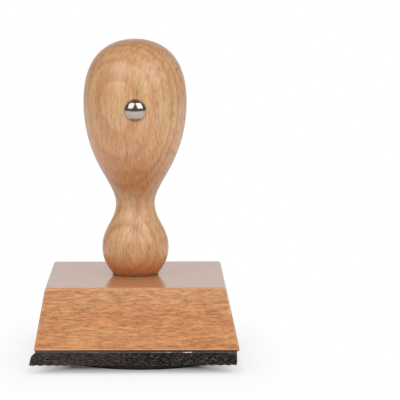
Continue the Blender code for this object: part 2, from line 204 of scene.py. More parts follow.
def ramp(tree, value, low, high, at_low=0.0, at_high=1.0):
    """A smooth step: at_low up to low, and at_high from high on."""
    inputs = {0: value, 1: low, 2: high, 3: at_low, 4: at_high}
    return add(tree, "MapRange", inputs, interpolation_type="SMOOTHSTEP").outputs[0]


def mix(tree, share, first, second, blend="MIX"):
    """Two colours mixed by a share."""
    inputs = {0: share, 6: first, 7: second}
    return add(tree, "Mix", inputs, data_type="RGBA", blend_type=blend).outputs[2]


def stretched(tree, position, x, y, z):
    """The position with each axis multiplied by its own number."""
    return add(tree, "VectorMath", {0: position, 1: (x, y, z)}, operation="MULTIPLY").outputs[0]


def clouds(tree, position, scale=1.0, detail=2.0, roughness=0.5):
    """Soft noise from 0 to 1."""
    inputs = {"Vector": position, "Scale": scale, "Detail": detail, "Roughness": roughness}
    return add(tree, "TexNoise", inputs).outputs[0]


def new_group(name, inputs, outputs):
    """A shader node group with named sockets, and its two end nodes."""
    group = bpy.data.node_groups.new(name, "ShaderNodeTree")
    for label, kind, value in inputs:
        socket = group.interface.new_socket(label, in_out="INPUT", socket_type="NodeSocket" + kind)
        if value is not None:
            socket.default_value = value
    for label, kind in outputs:
        group.interface.new_socket(label, in_out="OUTPUT", socket_type="NodeSocket" + kind)
    return group, group.nodes.new("NodeGroupInput"), group.nodes.new("NodeGroupOutput")


def place_group(tree, group, inputs):
    """The group as one node of a material, with its values."""
    made = tree.nodes.new("ShaderNodeGroup")
    made.node_tree = group
    for socket, value in inputs.items():
        if isinstance(value, bpy.types.NodeSocket):
            tree.links.new(value, made.inputs[socket])
        else:
            made.inputs[socket].default_value = value
    return made


def make_beech_group():
    """Steamed beech. Position is in millimetres, with the grain along Z and the tree's heart on
    the Z axis, so growth rings are cylinders and the ray flecks stand on radial lines."""
    group, given, result = new_group(
        "steamed_beech",
        [
            ("Position", "Vector", None),
            ("Heart Distance", "Float", 60.0),
            ("Ring Spacing", "Float", 2.4),
            ("Ring Strength", "Float", 0.5),
            ("Waviness", "Float", 0.6),
            ("Fleck Width", "Float", 0.3),
            ("Fleck Length", "Float", 1.6),
            ("Fleck Strength", "Float", 0.6),
            ("Streak Width", "Float", 0.67),
            ("Streak Length", "Float", 8.0),
            ("Streak Strength", "Float", 0.2),
            ("End Grain And Shade", "Float", 0.0),
            ("Pale Wood", "Color", (1.0, 1.0, 1.0, 1.0)),
            ("Pink Wood", "Color", (1.0, 1.0, 1.0, 1.0)),
            ("Late Wood", "Color", (1.0, 1.0, 1.0, 1.0)),
            ("Fleck Colour", "Color", (1.0, 1.0, 1.0, 1.0)),
            ("End Grain And Shade Colour", "Color", (1.0, 1.0, 1.0, 1.0)),
        ],
        [("Colour", "Color"), ("Gloss Loss", "Float"), ("Height", "Float")],
    )
    value = given.outputs

    slow = add(
        group,
        "TexNoise",
        {"Vector": stretched(group, value["Position"], 0.10, 0.10, 0.03), "Scale": 1.0, "Detail": 2.0},
    ).outputs[1]
    centred = add(group, "VectorMath", {0: slow, 1: (0.5, 0.5, 0.5)}, operation="SUBTRACT").outputs[0]
    reach = calc(group, "MULTIPLY", value["Waviness"], 4.0)
    sway = add(group, "VectorMath", {0: centred, "Scale": reach}, operation="SCALE").outputs[0]
    grown = add(group, "VectorMath", {0: value["Position"], 1: sway}, operation="ADD").outputs[0]
    x, y, z = add(group, "SeparateXYZ", {0: grown}).outputs
    flat = add(group, "CombineXYZ", {0: x, 1: y}).outputs[0]
    radius = add(group, "VectorMath", {0: flat}, operation="LENGTH").outputs["Value"]
    round_ring = calc(group, "MULTIPLY", calc(group, "ARCTAN2", y, x), value["Heart Distance"])
    ripple = clouds(group, stretched(group, value["Position"], 0.55, 0.55, 0.28), detail=1.0)
    ripple_reach = calc(group, "MULTIPLY", value["Waviness"], 1.4)
    round_ring = calc(group, "MULTIPLY_ADD", ripple, ripple_reach, round_ring)
    tree_place = add(group, "CombineXYZ", {0: round_ring, 1: radius, 2: z}).outputs[0]

    ring = calc(group, "DIVIDE", radius, value["Ring Spacing"])
    phase = calc(group, "FRACT", ring)
    rise = ramp(group, phase, 0.30, 0.86)
    fall = ramp(group, phase, 0.86, 1.0, 1.0, 0.0)
    year = add(group, "CombineXYZ", {0: calc(group, "MULTIPLY", ring, 0.45), 1: 3.7}).outputs[0]
    good_year = ramp(group, clouds(group, year, detail=0.0), 0.35, 0.65, 0.35, 1.0)
    late = calc(group, "MULTIPLY", calc(group, "MULTIPLY", rise, fall), value["Ring Strength"])
    late = calc(group, "MULTIPLY", late, good_year)

    across_scale = calc(group, "DIVIDE", 1.0, value["Streak Width"])
    along_scale = calc(group, "DIVIDE", 1.0, value["Streak Length"])
    streak_cell = add(group, "CombineXYZ", {0: across_scale, 1: 0.8, 2: along_scale}).outputs[0]
    streak_place = add(group, "VectorMath", {0: tree_place, 1: streak_cell}, operation="MULTIPLY").outputs[0]
    streaks = clouds(group, streak_place, detail=4.0, roughness=0.62)
    mottle = clouds(group, stretched(group, tree_place, 0.24, 0.16, 0.05), detail=3.0)

    cell_width = calc(group, "DIVIDE", 0.6, value["Fleck Width"])
    cell_length = calc(group, "DIVIDE", 0.6, value["Fleck Length"])
    cell = add(group, "CombineXYZ", {0: cell_width, 1: 0.18, 2: cell_length}).outputs[0]
    ray_place = add(group, "VectorMath", {0: tree_place, 1: cell}, operation="MULTIPLY").outputs[0]
    flecks = 0.0
    for rays_scale in (1.0, 1.7):
        rays = add(group, "TexVoronoi", {"Vector": ray_place, "Scale": rays_scale})
        ray_core = ramp(group, rays.outputs["Distance"], 0.16, 0.42, 1.0, 0.0)
        ray_chance = add(group, "SeparateXYZ", {0: rays.outputs["Color"]}).outputs[0]
        ray_depth = calc(group, "MULTIPLY", ramp(group, ray_chance, 0.10, 0.90), value["Fleck Strength"])
        flecks = calc(group, "MAXIMUM", flecks, calc(group, "MULTIPLY", ray_core, ray_depth))

    wood = mix(group, ramp(group, mottle, 0.36, 0.64), value["Pale Wood"], value["Pink Wood"])
    wood = mix(group, late, wood, value["Late Wood"])
    # The end-grain share also carries painted shade, where a material feeds shade into it.
    wood = mix(group, value["End Grain And Shade"], wood, value["End Grain And Shade Colour"])
    wood = mix(group, flecks, wood, value["Fleck Colour"])
    dip = calc(group, "SUBTRACT", 1.0, value["Streak Strength"])
    lift = calc(group, "MULTIPLY_ADD", value["Streak Strength"], 0.6, 1.0)
    shade = ramp(group, streaks, 0.30, 0.70, dip, lift)
    warm = calc(group, "POWER", shade, 1.2)
    shade_colour = add(group, "CombineXYZ", {0: shade, 1: warm, 2: warm}).outputs[0]
    wood = mix(group, 1.0, wood, shade_colour, "MULTIPLY")
    group.links.new(wood, result.inputs["Colour"])
    group.links.new(flecks, result.inputs["Gloss Loss"])
    height = calc(group, "SUBTRACT", calc(group, "MULTIPLY", streaks, 0.5), flecks)
    group.links.new(height, result.inputs["Height"])
    return group


beech = make_beech_group()


def in_millimetres(tree):
    """The place on the piece, in millimetres."""
    place = add(tree, "TexCoord").outputs["Object"]
    return add(tree, "VectorMath", {0: place, "Scale": 1.0 / MM}, operation="SCALE").outputs[0]


def relief(tree, shader, height, strength, distance):
    """A fine bump on the shader's normal."""
    inputs = {"Height": height, "Strength": strength, "Distance": distance}
    tree.links.new(add(tree, "Bump", inputs).outputs[0], shader.inputs["Normal"])


def start_material(name):
    """A new material, its tree and its Principled shader."""
    made = bpy.data.materials.new(name)
    made.use_nodes = True
    return made, made.node_tree, made.node_tree.nodes["Principled BSDF"]


def wear(piece, material, body):
    """Puts the material on the piece and lets it ride on its body."""
    piece.data.materials.clear()
    piece.data.materials.append(material)
    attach(piece, body)


def steepest(tree, normal):
    """The largest of the normal's three parts: 1 on a flat that faces an axis, less between."""
    parts = add(tree, "SeparateXYZ", {0: normal}).outputs
    x, y, z = [calc(tree, "ABSOLUTE", part) for part in parts]
    return calc(tree, "MAXIMUM", calc(tree, "MAXIMUM", x, y), z)


# Where the heart of the tree lies, and heights on the block's sides for its tint, its painted highlights and
# its painted shade, in the material's millimetres.
BLOCK_HEART_Y = -110.0
BLOCK_HEART_Z = 4.0
LACQUER_LOW = 7.0
LACQUER_HIGH = 23.0
SHADE_LINE = block_low.z / MM + 0.58
LOWER_HIGHLIGHT_LINE = block_low.z / MM + 0.84
UPPER_HIGHLIGHT_LINE = block_high.z / MM - 0.8


def make_block_beech():
    """Flat-sawn face to the front: wavy, scaly figure and short flecks along the grain. The
    lacquer ran down while it dried, so the sides are more amber below. Painted shade darkens the
    top face with the end-grain colour. The arrises are paler, from paper wear and a painted
    highlight, and painted highlights run along a line just above the bottom and over the top
    0.8 mm. Below that line a dark brown band is painted shade where the lower arris faces down
    onto the foam."""
    material, tree, shader = start_material("lacquered_block_beech")
    x, y, z = add(tree, "SeparateXYZ", {0: in_millimetres(tree)}).outputs
    across = calc(tree, "ADD", y, -BLOCK_HEART_Y)
    upright = calc(tree, "ADD", z, -BLOCK_HEART_Z)
    place = add(tree, "CombineXYZ", {0: across, 1: upright, 2: x}).outputs[0]
    normal = add(tree, "TexCoord").outputs["Normal"]
    upwards = add(tree, "SeparateXYZ", {0: normal}).outputs[2]
    level = ramp(tree, upwards, 0.5, 0.9)
    wood = place_group(tree, beech, {
        "Position": place,
        "Heart Distance": 75.0,
        "Ring Spacing": 2.9,
        "Ring Strength": 0.46,
        "Waviness": 0.5,
        "Fleck Width": 0.26,
        "Fleck Length": 1.3,
        "Fleck Strength": calc(tree, "MULTIPLY_ADD", level, -0.50, 0.57),
        "Streak Width": 0.55,
        "Streak Length": 3.6,
        "Streak Strength": calc(tree, "MULTIPLY_ADD", level, -0.23, 0.28),
        # On the block the end-grain colour is only painted shade, which darkens the top face.
        "End Grain And Shade": calc(tree, "MULTIPLY", level, 0.25),
        "Pale Wood": shown(213, 156, 106),
        "Pink Wood": shown(210, 147, 101),
        "Late Wood": shown(196, 128, 76),
        "Fleck Colour": shown(160, 88, 44),
        "End Grain And Shade Colour": shown(178, 112, 70),
    })
    paler = ramp(tree, z, LACQUER_LOW, LACQUER_HIGH)
    lacquer = mix(tree, paler, (1.0, 0.95, 0.90, 1.0), (1.0, 1.04, 1.10, 1.0))
    body = mix(tree, 1.0, wood.outputs["Colour"], lacquer, "MULTIPLY")
    # Paler arrises, from paper wear and a painted highlight.
    arris = ramp(tree, steepest(tree, normal), 0.86, 0.96, 1.0, 0.0)
    # A painted highlight line just above the bottom, and a painted highlight over the top 0.8 mm.
    lower_highlight = ramp(tree, z, LOWER_HIGHLIGHT_LINE - 0.13, LOWER_HIGHLIGHT_LINE + 0.13, 1.0, 0.0)
    upper_highlight = ramp(tree, z, UPPER_HIGHLIGHT_LINE - 0.2, UPPER_HIGHLIGHT_LINE + 0.2)
    # Below the highlight line, a dark brown band of painted shade where the lower arris faces down onto the
    # foam.
    shade_band = ramp(tree, z, SHADE_LINE - 0.04, SHADE_LINE + 0.04, 1.0, 0.0)
    wear_and_highlight = ramp(tree, clouds(tree, stretched(tree, place, 0.6, 0.6, 0.3)), 0.35, 0.65, 0.10, 0.45)
    wear_and_highlight = calc(tree, "MULTIPLY_ADD", lower_highlight, 0.45, wear_and_highlight)
    arris_wear_and_highlight = calc(tree, "MULTIPLY", arris, 0.3)
    edges = calc(tree, "MAXIMUM", arris_wear_and_highlight, calc(tree, "MULTIPLY", upper_highlight, 0.6))
    rubbed_and_highlit = calc(tree, "MULTIPLY", calc(tree, "MAXIMUM", edges, lower_highlight), wear_and_highlight)
    colour = mix(tree, rubbed_and_highlit, body, shown(232, 184, 146))
    # The painted shade is darkest just below its line and lighter towards the bottom.
    shade_depth = ramp(tree, z, SHADE_LINE - 0.45, SHADE_LINE - 0.15, 0.0, 1.0)
    colour = mix(tree, shade_band, colour, mix(tree, shade_depth, shown(160, 108, 66), shown(72, 34, 10)))
    tree.links.new(colour, shader.inputs["Base Color"])
    rough = ramp(tree, wood.outputs["Gloss Loss"], 0.0, 1.0, 0.36, 0.52)
    tree.links.new(rough, shader.inputs["Roughness"])
    shader.inputs["Specular IOR Level"].default_value = 0.25
    shader.inputs["Coat Weight"].default_value = 1.0
    shader.inputs["Coat Roughness"].default_value = 0.11
    relief(tree, shader, wood.outputs["Height"], 0.10, 0.05 * MM)
    return material


wear(block, make_block_beech(), "stamp")
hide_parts("mounting_block")

# Handle
# Beech, turned in one piece between centres: a pear-shaped bulb for the palm, a neck for the
# fingers, a ball and a short foot with a square rim. Sanded fine and given a satin lacquer.
# The foot is screwed and glued to the block, and the bulb is pocketed for the stud.

handle_low, handle_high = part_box("handle")
HANDLE_SEGMENTS = 144
OUTLINE_STEPS = 26
FOOT_RADIUS = 6.75 * MM
FOOT_RIM = 0.4 * MM
BALL_RADIUS = 9.71 * MM
BALL_HEIGHT = 8.0 * MM
NECK_RADIUS = 5.67 * MM
NECK_HEIGHT = 20.8 * MM
BULB_HEIGHT = 50.9 * MM
bulb_radius = (handle_high.x - handle_low.x) / 2.0
handle_height = handle_high.z - handle_low.z

# How full the curves between these places are, as shares of a rise or of a radius.
CROWN_SHARE = 0.41
BULB_UPPER_SHARE = 0.83
BULB_LOWER_SHARE = 0.60
NECK_UPPER_SHARE = 0.22
NECK_LOWER_SHARE = 0.38
BALL_UPPER_SHARE = 0.45
BALL_LOWER_SHARE = 0.52
FOOT_LEAN_SHARE = 0.35
FOOT_RISE_SHARE = 0.18


def handle_outline():
    """(radius, height above the foot) pairs, as four smooth curves from the crown to the foot."""
    crown_rise = handle_height - BULB_HEIGHT
    neck_rise = BULB_HEIGHT - NECK_HEIGHT
    ball_rise = NECK_HEIGHT - BALL_HEIGHT
    foot_rise = BALL_HEIGHT - FOOT_RIM
    crown = (0.0, handle_height)
    bulb = (bulb_radius, BULB_HEIGHT)
    neck = (NECK_RADIUS, NECK_HEIGHT)
    ball = (BALL_RADIUS, BALL_HEIGHT)
    foot = (FOOT_RADIUS, FOOT_RIM)
    foot_lean = FOOT_LEAN_SHARE * (BALL_RADIUS - FOOT_RADIUS)
    curves = [
        (
            crown,
            (CROWN_SHARE * bulb_radius, handle_height),
            (bulb_radius, BULB_HEIGHT + BULB_UPPER_SHARE * crown_rise),
            bulb,
        ),
        (
            bulb,
            (bulb_radius, BULB_HEIGHT - BULB_LOWER_SHARE * neck_rise),
            (NECK_RADIUS, NECK_HEIGHT + NECK_UPPER_SHARE * neck_rise),
            neck,
        ),
        (
            neck,
            (NECK_RADIUS, NECK_HEIGHT - NECK_LOWER_SHARE * ball_rise),
            (BALL_RADIUS, BALL_HEIGHT + BALL_UPPER_SHARE * ball_rise),
            ball,
        ),
        (
            ball,
            (BALL_RADIUS, BALL_HEIGHT - BALL_LOWER_SHARE * foot_rise),
            (FOOT_RADIUS + foot_lean, FOOT_RIM + FOOT_RISE_SHARE * foot_rise),
            foot,
        ),
    ]
    outline = []
    for curve in curves:
        knots = [Vector(point) for point in curve]
        outline += [tuple(point) for point in interpolate_bezier(*knots, OUTLINE_STEPS + 1)[:-1]]
    return outline + [foot, (FOOT_RADIUS, 0.0), (0.0, 0.0)]


def radius_at(height):
    """The handle's radius at a height above its foot."""
    for (wide, upper), (narrow, lower) in zip(handle_outline(), handle_outline()[1:]):
        if lower <= height <= upper and upper > lower:
            return narrow + (wide - narrow) * (height - lower) / (upper - lower)


handle = turned_form(
    "turned_handle",
    [(radius, handle_low.z + height) for radius, height in handle_outline()],
    HANDLE_SEGMENTS,
)

PILOT_DEPTH = 13.5 * MM
pilot = turned_form(
    "pilot",
    [
        (0.0, handle_low.z + PILOT_DEPTH),
        (SCREW_HOLE_RADIUS, handle_low.z + PILOT_DEPTH),
        (SCREW_HOLE_RADIUS, handle_low.z - MM),
        (0.0, handle_low.z - MM),
    ],
    DRILL_SEGMENTS,
)
cut_away(handle, pilot)

# The stud's own frame: its Z axis points out of the handle's front.
STUD_HEIGHT = 48.9 * MM
STUD_OFFSET_X = 0.2 * MM
STUD_RADIUS = 3.15 * MM
STUD_DOME = 1.9 * MM
STUD_SINK = 0.3 * MM
STUD_SHANK_RADIUS = 0.9 * MM
STUD_SHANK_LENGTH = 8.0 * MM
SEAT_PLAY = 0.08 * MM
stud_seat = Vector((STUD_OFFSET_X, STUD_SINK - radius_at(STUD_HEIGHT), handle_low.z + STUD_HEIGHT))
stud_place = Matrix.Translation(stud_seat) @ Matrix.Rotation(math.radians(90.0), 4, "X")
seat = turned_form(
    "seat",
    [
        (0.0, STUD_DOME),
        (STUD_RADIUS + SEAT_PLAY, STUD_DOME),
        (STUD_RADIUS + SEAT_PLAY, -SEAT_PLAY),
        (STUD_SHANK_RADIUS + SEAT_PLAY, -SEAT_PLAY),
        (STUD_SHANK_RADIUS + SEAT_PLAY, -STUD_SHANK_LENGTH - SEAT_PLAY),
        (0.0, -STUD_SHANK_LENGTH - SEAT_PLAY),
    ],
    DRILL_SEGMENTS,
)
seat.matrix_world = stud_place
cut_away(handle, seat)
shade_round(handle, 40.0)


# Where the heart of the tree lies, where the wood is redder, and where painted shade darkens
# the wood round the foot and just above the neck, in the material's millimetres.
HANDLE_HEART_X = 22.0
HANDLE_HEART_Y = 55.5
RED_SIDE = -14.0
RED_END = -4.0
FOOT_CORNER = handle_low.z / MM + 0.1
FOOT_SHADE_HEIGHT = 0.9
HOLLOW_PLACE = (handle_low.z + NECK_HEIGHT) / MM + 3.0
HOLLOW_RISE = 14.0
HOLLOW_DROP = 6.3


def make_handle_beech():
    """The heart of the tree lies behind the handle and to the right, so the bulb's front shows
    nested arches left of the stud. The crown cuts across the grain and takes more of the lacquer's
    tint. Every downward-facing surface, the ball's underside among them, takes the same colour
    more strongly: partly end-grain tint and partly painted shade. Painted shade darkens the wood
    just above the neck and round the foot, and the wood is redder on the left."""
    material, tree, shader = start_material("lacquered_handle_beech")
    x, y, z = add(tree, "SeparateXYZ", {0: in_millimetres(tree)}).outputs
    across = calc(tree, "ADD", x, -HANDLE_HEART_X)
    behind = calc(tree, "ADD", y, -HANDLE_HEART_Y)
    place = add(tree, "CombineXYZ", {0: across, 1: behind, 2: z}).outputs[0]
    normal = add(tree, "TexCoord").outputs["Normal"]
    upwards = add(tree, "SeparateXYZ", {0: normal}).outputs[2]
    # Painted shade on every downward-facing surface, a little stronger below the neck, carried by the
    # end-grain share.
    under = ramp(tree, z, HOLLOW_PLACE - HOLLOW_DROP, HOLLOW_PLACE, -1.0, -0.8)
    crown_slope = calc(tree, "MULTIPLY", upwards, 0.3)
    slope = calc(tree, "MAXIMUM", crown_slope, calc(tree, "MULTIPLY", upwards, under))
    wood = place_group(tree, beech, {
        "Position": place,
        "Heart Distance": 74.0,
        "Ring Spacing": 2.25,
        "Ring Strength": 0.85,
        "Waviness": 0.3,
        "Fleck Width": 0.28,
        "Fleck Length": 2.1,
        "Fleck Strength": 0.66,
        "Streak Width": 0.67,
        "Streak Length": 8.0,
        "Streak Strength": 0.12,
        "End Grain And Shade": ramp(tree, slope, 0.02, 0.75, 0.0, 0.80),
        "Pale Wood": shown(215, 173, 124),
        "Pink Wood": shown(210, 162, 119),
        "Late Wood": shown(195, 135, 83),
        "Fleck Colour": shown(165, 103, 57),
        "End Grain And Shade Colour": shown(194, 114, 62),
    })
    # Painted shade just above the neck, under the bulb.
    above = ramp(tree, z, HOLLOW_PLACE, HOLLOW_PLACE + HOLLOW_RISE, 1.0, 0.0)
    neck_shade = calc(tree, "MULTIPLY", above, ramp(tree, z, HOLLOW_PLACE - HOLLOW_DROP, HOLLOW_PLACE))
    redder = mix(tree, ramp(tree, x, RED_SIDE, RED_END), (0.96, 0.90, 0.85, 1.0), (1.0, 1.0, 1.0, 1.0))
    body = mix(tree, 1.0, wood.outputs["Colour"], redder, "MULTIPLY")
    body = mix(tree, neck_shade, body, (0.80, 0.79, 0.80, 1.0), "MULTIPLY")
    # Painted shade round the foot, where it meets the block.
    foot_shade = ramp(tree, z, FOOT_CORNER, FOOT_CORNER + FOOT_SHADE_HEIGHT, 0.85, 0.0)
    colour = mix(tree, foot_shade, body, shown(108, 58, 26))
    tree.links.new(colour, shader.inputs["Base Color"])
    rough = ramp(tree, wood.outputs["Gloss Loss"], 0.0, 1.0, 0.40, 0.55)
    tree.links.new(rough, shader.inputs["Roughness"])
    shader.inputs["Specular IOR Level"].default_value = 0.35
    shader.inputs["Coat Weight"].default_value = 0.75
    shader.inputs["Coat Roughness"].default_value = 0.26
    relief(tree, shader, wood.outputs["Height"], 0.12, 0.05 * MM)
    return material


wear(handle, make_handle_beech(), "stamp")
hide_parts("handle")

# Orientation stud
# A domed upholstery nail of polished steel, driven into the front of the bulb up to its head,
# so that the hand knows which side of the design is up.

DOME_STEPS = 20
STUD_SEGMENTS = 96


def stud_outline():
    """The dome, the flat underside of the head and the pointed shank."""
    dome = []
    for i in range(DOME_STEPS + 1):
        angle = math.radians(90.0) * (1.0 - i / DOME_STEPS)
        dome.append((STUD_RADIUS * math.cos(angle), STUD_DOME * math.sin(angle)))
    shank_end = -STUD_SHANK_LENGTH
    return dome + [
        (STUD_SHANK_RADIUS, 0.0),
        (STUD_SHANK_RADIUS, shank_end + STUD_SHANK_RADIUS),
        (0.0, shank_end),
    ]


stud = turned_form("domed_stud", stud_outline(), STUD_SEGMENTS)
stud.data.transform(stud_place)
shade_round(stud, 40.0)


def make_stud_steel():
    """Polished steel with the finest of rubbing marks."""
    material, tree, shader = start_material("polished_stud_steel")
    place = in_millimetres(tree)
    haze = clouds(tree, stretched(tree, place, 1.4, 1.4, 1.4), detail=4.0)
    scuffs = clouds(tree, stretched(tree, place, 3.0, 3.0, 22.0), detail=2.0)
    colour = mix(tree, haze, shown(184, 170, 162), shown(202, 188, 180))
    tree.links.new(colour, shader.inputs["Base Color"])
    shader.inputs["Metallic"].default_value = 1.0
    tree.links.new(ramp(tree, haze, 0.3, 0.7, 0.13, 0.19), shader.inputs["Roughness"])
    relief(tree, shader, scuffs, 0.03, 0.01 * MM)
    return material


wear(stud, make_stud_steel(), "stamp")
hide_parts("orientation_stud")

# Handle screw
# A zinc-plated countersunk wood screw, driven up through the block into the foot. Its head is
# sunk below the block's lower face and the adhesive film covers it.


def dress_node(node, material):
    """Gives a CAD node its material."""
    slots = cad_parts[node].material_slots
    for slot in slots:
        slot.material = material


def make_zinc():
    material, tree, shader = start_material("bright_zinc_plate")
    place = in_millimetres(tree)
    spangle = clouds(tree, place, scale=1.1, detail=3.0)
    tone = mix(tree, spangle, shown(178, 181, 186), shown(205, 207, 210))
    tree.links.new(tone, shader.inputs["Base Color"])
    shader.inputs["Metallic"].default_value = 1.0
    tree.links.new(ramp(tree, spangle, 0.3, 0.7, 0.26, 0.40), shader.inputs["Roughness"])
    return material


dress_node("handle_screw", make_zinc())

# Adhesive films
# Two thin transfer films. The upper one bonds the foam to the block's lower face and has the
# outline of the foam's top. Its cut edge shows as a fine grey line, with bright painted glints on
# it to the right of the middle. The lower one has the die's outline.

# Where the painted glints lie on the cut edge, in the material's millimetres to the right.
GLINT_PLACE = 16.0
GLINT_REACH = 4.5
GLINT_END = 8.0


def make_film():
    material, tree, shader = start_material("transfer_film")
    place = in_millimetres(tree)
    grey = clouds(tree, stretched(tree, place, 1.2, 1.2, 1.2), detail=3.0)
    specks = ramp(tree, clouds(tree, stretched(tree, place, 0.55, 0.55, 0.55), detail=4.0), 0.56, 0.62)
    tone = mix(tree, grey, shown(70, 62, 56), shown(118, 106, 96))
    sideways = add(tree, "SeparateXYZ", {0: place}).outputs[0]
    from_glints = calc(tree, "ABSOLUTE", calc(tree, "ADD", sideways, -GLINT_PLACE))
    glint_share = ramp(tree, from_glints, GLINT_REACH, GLINT_END, 1.0, 0.14)
    # Bright specks on the cut edge are painted glints, right of the middle.
    tone = mix(tree, calc(tree, "MULTIPLY", specks, glint_share), tone, shown(236, 226, 214))
    tree.links.new(tone, shader.inputs["Base Color"])
    tree.links.new(ramp(tree, grey, 0.3, 0.7, 0.35, 0.55), shader.inputs["Roughness"])
    return material


film = make_film()
dress_node("upper_adhesive_film", film)
dress_node("lower_adhesive_film", film)

# Foam cushion
# Charcoal open-cell foam, 3.5 mm thick, that lets the die follow the paper. It was trimmed with
# a knife after it was stuck on: the cut faces are rough, the left one splays out at the front,
# and the lower edge is nibbled into small scallops towards the corners.

foam_low, foam_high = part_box("foam_cushion")
film_low, film_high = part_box("upper_adhesive_film")
FOAM_STEP = 0.28 * MM
FOAM_LEVELS = 14
SPLAY_FALL = 24
SPLAY_BELLY = 0.6
SPLAY_BELLY_POWER = 8
CUT_ROUGHNESS = 0.16 * MM
CUT_GRAIN = 2.1
CUT_OCTAVES = 3
LOWER_EDGE_FADE = 6.0
UPPER_EDGE_FADE = 10.0
SCALLOP_DEPTH = 0.42 * MM
SCALLOP_WIDTH = 2.3 * MM
SCALLOP_RUN = 16.0 * MM
SCALLOP_REACH = 3.5 * MM
SCALLOP_LEAST = 0.15
WANDER_SCALE = 260.0
RIM_INSETS = (0.35 * MM, SCALLOP_REACH)
TOP_INSET = 1.4 * MM


def foam_perimeter():
    """Points round the foam's top, as (place, how far the cut splays out below it, normal)."""
    points = []
    corners = [
        Vector((film_low.x, film_low.y)),
        Vector((film_high.x, film_low.y)),
        Vector((film_high.x, film_high.y)),
        Vector((film_low.x, film_high.y)),
    ]
    splay = film_low.x - foam_low.x
    for start, end in zip(corners, corners[1:] + corners[:1]):
        run = end - start
        count = round(run.length / FOAM_STEP)
        normal = Vector((run.y, -run.x)).normalized()
        for i in range(count):
            point = start + run * (i / count)
            left_share = (film_high.x - point.x) / (film_high.x - film_low.x)
            front_share = (film_high.y - point.y) / (film_high.y - film_low.y)
            points.append((point, splay * (front_share * left_share) ** SPLAY_FALL, normal))
    return points


def scallop(point, splay, normal):
    """How far the lower edge is bitten upwards, most of all near the corners."""
    along = point.x - splay if abs(normal.y) > 0.5 else point.y
    corner = min(abs(point.x - film_low.x), abs(point.x - film_high.x))
    fade = max(SCALLOP_LEAST, 1.0 - corner / SCALLOP_RUN)
    wave = abs(math.sin(math.pi * along / SCALLOP_WIDTH))
    wander = 0.5 + 0.5 * noise.noise(Vector((along * WANDER_SCALE, 4.0, 0.0)))
    return SCALLOP_DEPTH * (1.0 - wave) * (0.4 + 0.9 * wander) * fade


def cut_foam():
    """The foam as one closed mesh: rough sides in fine rings, and flat top and bottom faces."""
    mesh = bpy.data.meshes.new("charcoal_foam_pad")
    work = bmesh.new()
    perimeter = foam_perimeter()
    centre = (foam_low + foam_high) / 2.0
    height = foam_high.z - foam_low.z
    rings = []

    def add_ring(place_point):
        rings.append([work.verts.new(place_point(*item)) for item in perimeter])

    def side_point(point, splay, normal, share):
        """share is 0 at the bottom and 1 at the top."""
        belly = SPLAY_BELLY * (1.0 - share**SPLAY_BELLY_POWER)
        bulge = splay * (belly + (1.0 - SPLAY_BELLY) * (1.0 - share))
        place = Vector((point.x - bulge, point.y, foam_low.z + share * height))
        rough = noise.fractal(place * CUT_GRAIN / MM, 0.6, 2.0, CUT_OCTAVES)
        edge_fade = min(1.0, LOWER_EDGE_FADE * share, UPPER_EDGE_FADE * (1.0 - share))
        out = CUT_ROUGHNESS * rough * edge_fade
        x = point.x - bulge + normal.x * out
        y = point.y + normal.y * out
        bite = scallop(point, splay, normal) * (1.0 - share) ** 3
        return Vector((x, y, foam_low.z + share * height + bite))

    def cap_point(point, shift, inset, z):
        towards = Vector((centre.x - point.x + shift, centre.y - point.y))
        reach = inset / max(abs(towards.x), abs(towards.y))
        return Vector((point.x - shift + towards.x * reach, point.y + towards.y * reach, z))

    def under_point(point, splay, normal, inset):
        bite = scallop(point, splay, normal) * (1.0 - inset / SCALLOP_REACH)
        return cap_point(point, splay, inset, foam_low.z + bite)

    for inset in reversed(RIM_INSETS):
        add_ring(lambda point, splay, normal: under_point(point, splay, normal, inset))
    for level in range(FOAM_LEVELS + 1):
        add_ring(lambda point, splay, normal: side_point(point, splay, normal, level / FOAM_LEVELS))
    add_ring(lambda point, splay, normal: cap_point(point, 0.0, TOP_INSET, foam_high.z))
    for lower, upper in zip(rings, rings[1:]):
        for i in range(len(perimeter)):
            j = (i + 1) % len(perimeter)
            work.faces.new((lower[i], lower[j], upper[j], upper[i]))
    work.faces.new(reversed(rings[0]))
    work.faces.new(rings[-1])
    bmesh.ops.recalc_face_normals(work, faces=work.faces)
    work.to_mesh(mesh)
    work.free()
    return put_in_scene("charcoal_foam_pad", mesh)


foam = cut_foam()
shade_round(foam, 60.0)


# Between which places the cut changes from the left end's look to the right end's, in the
# material's millimetres: how dark the blade left it, and how torn, which sets the strength of the painted
# highlights and shade on the fuzz.
KEEN_LEFT = -22.0
KEEN_RIGHT = 10.0
TORN_LEFT = -20.0
TORN_RIGHT = 12.0


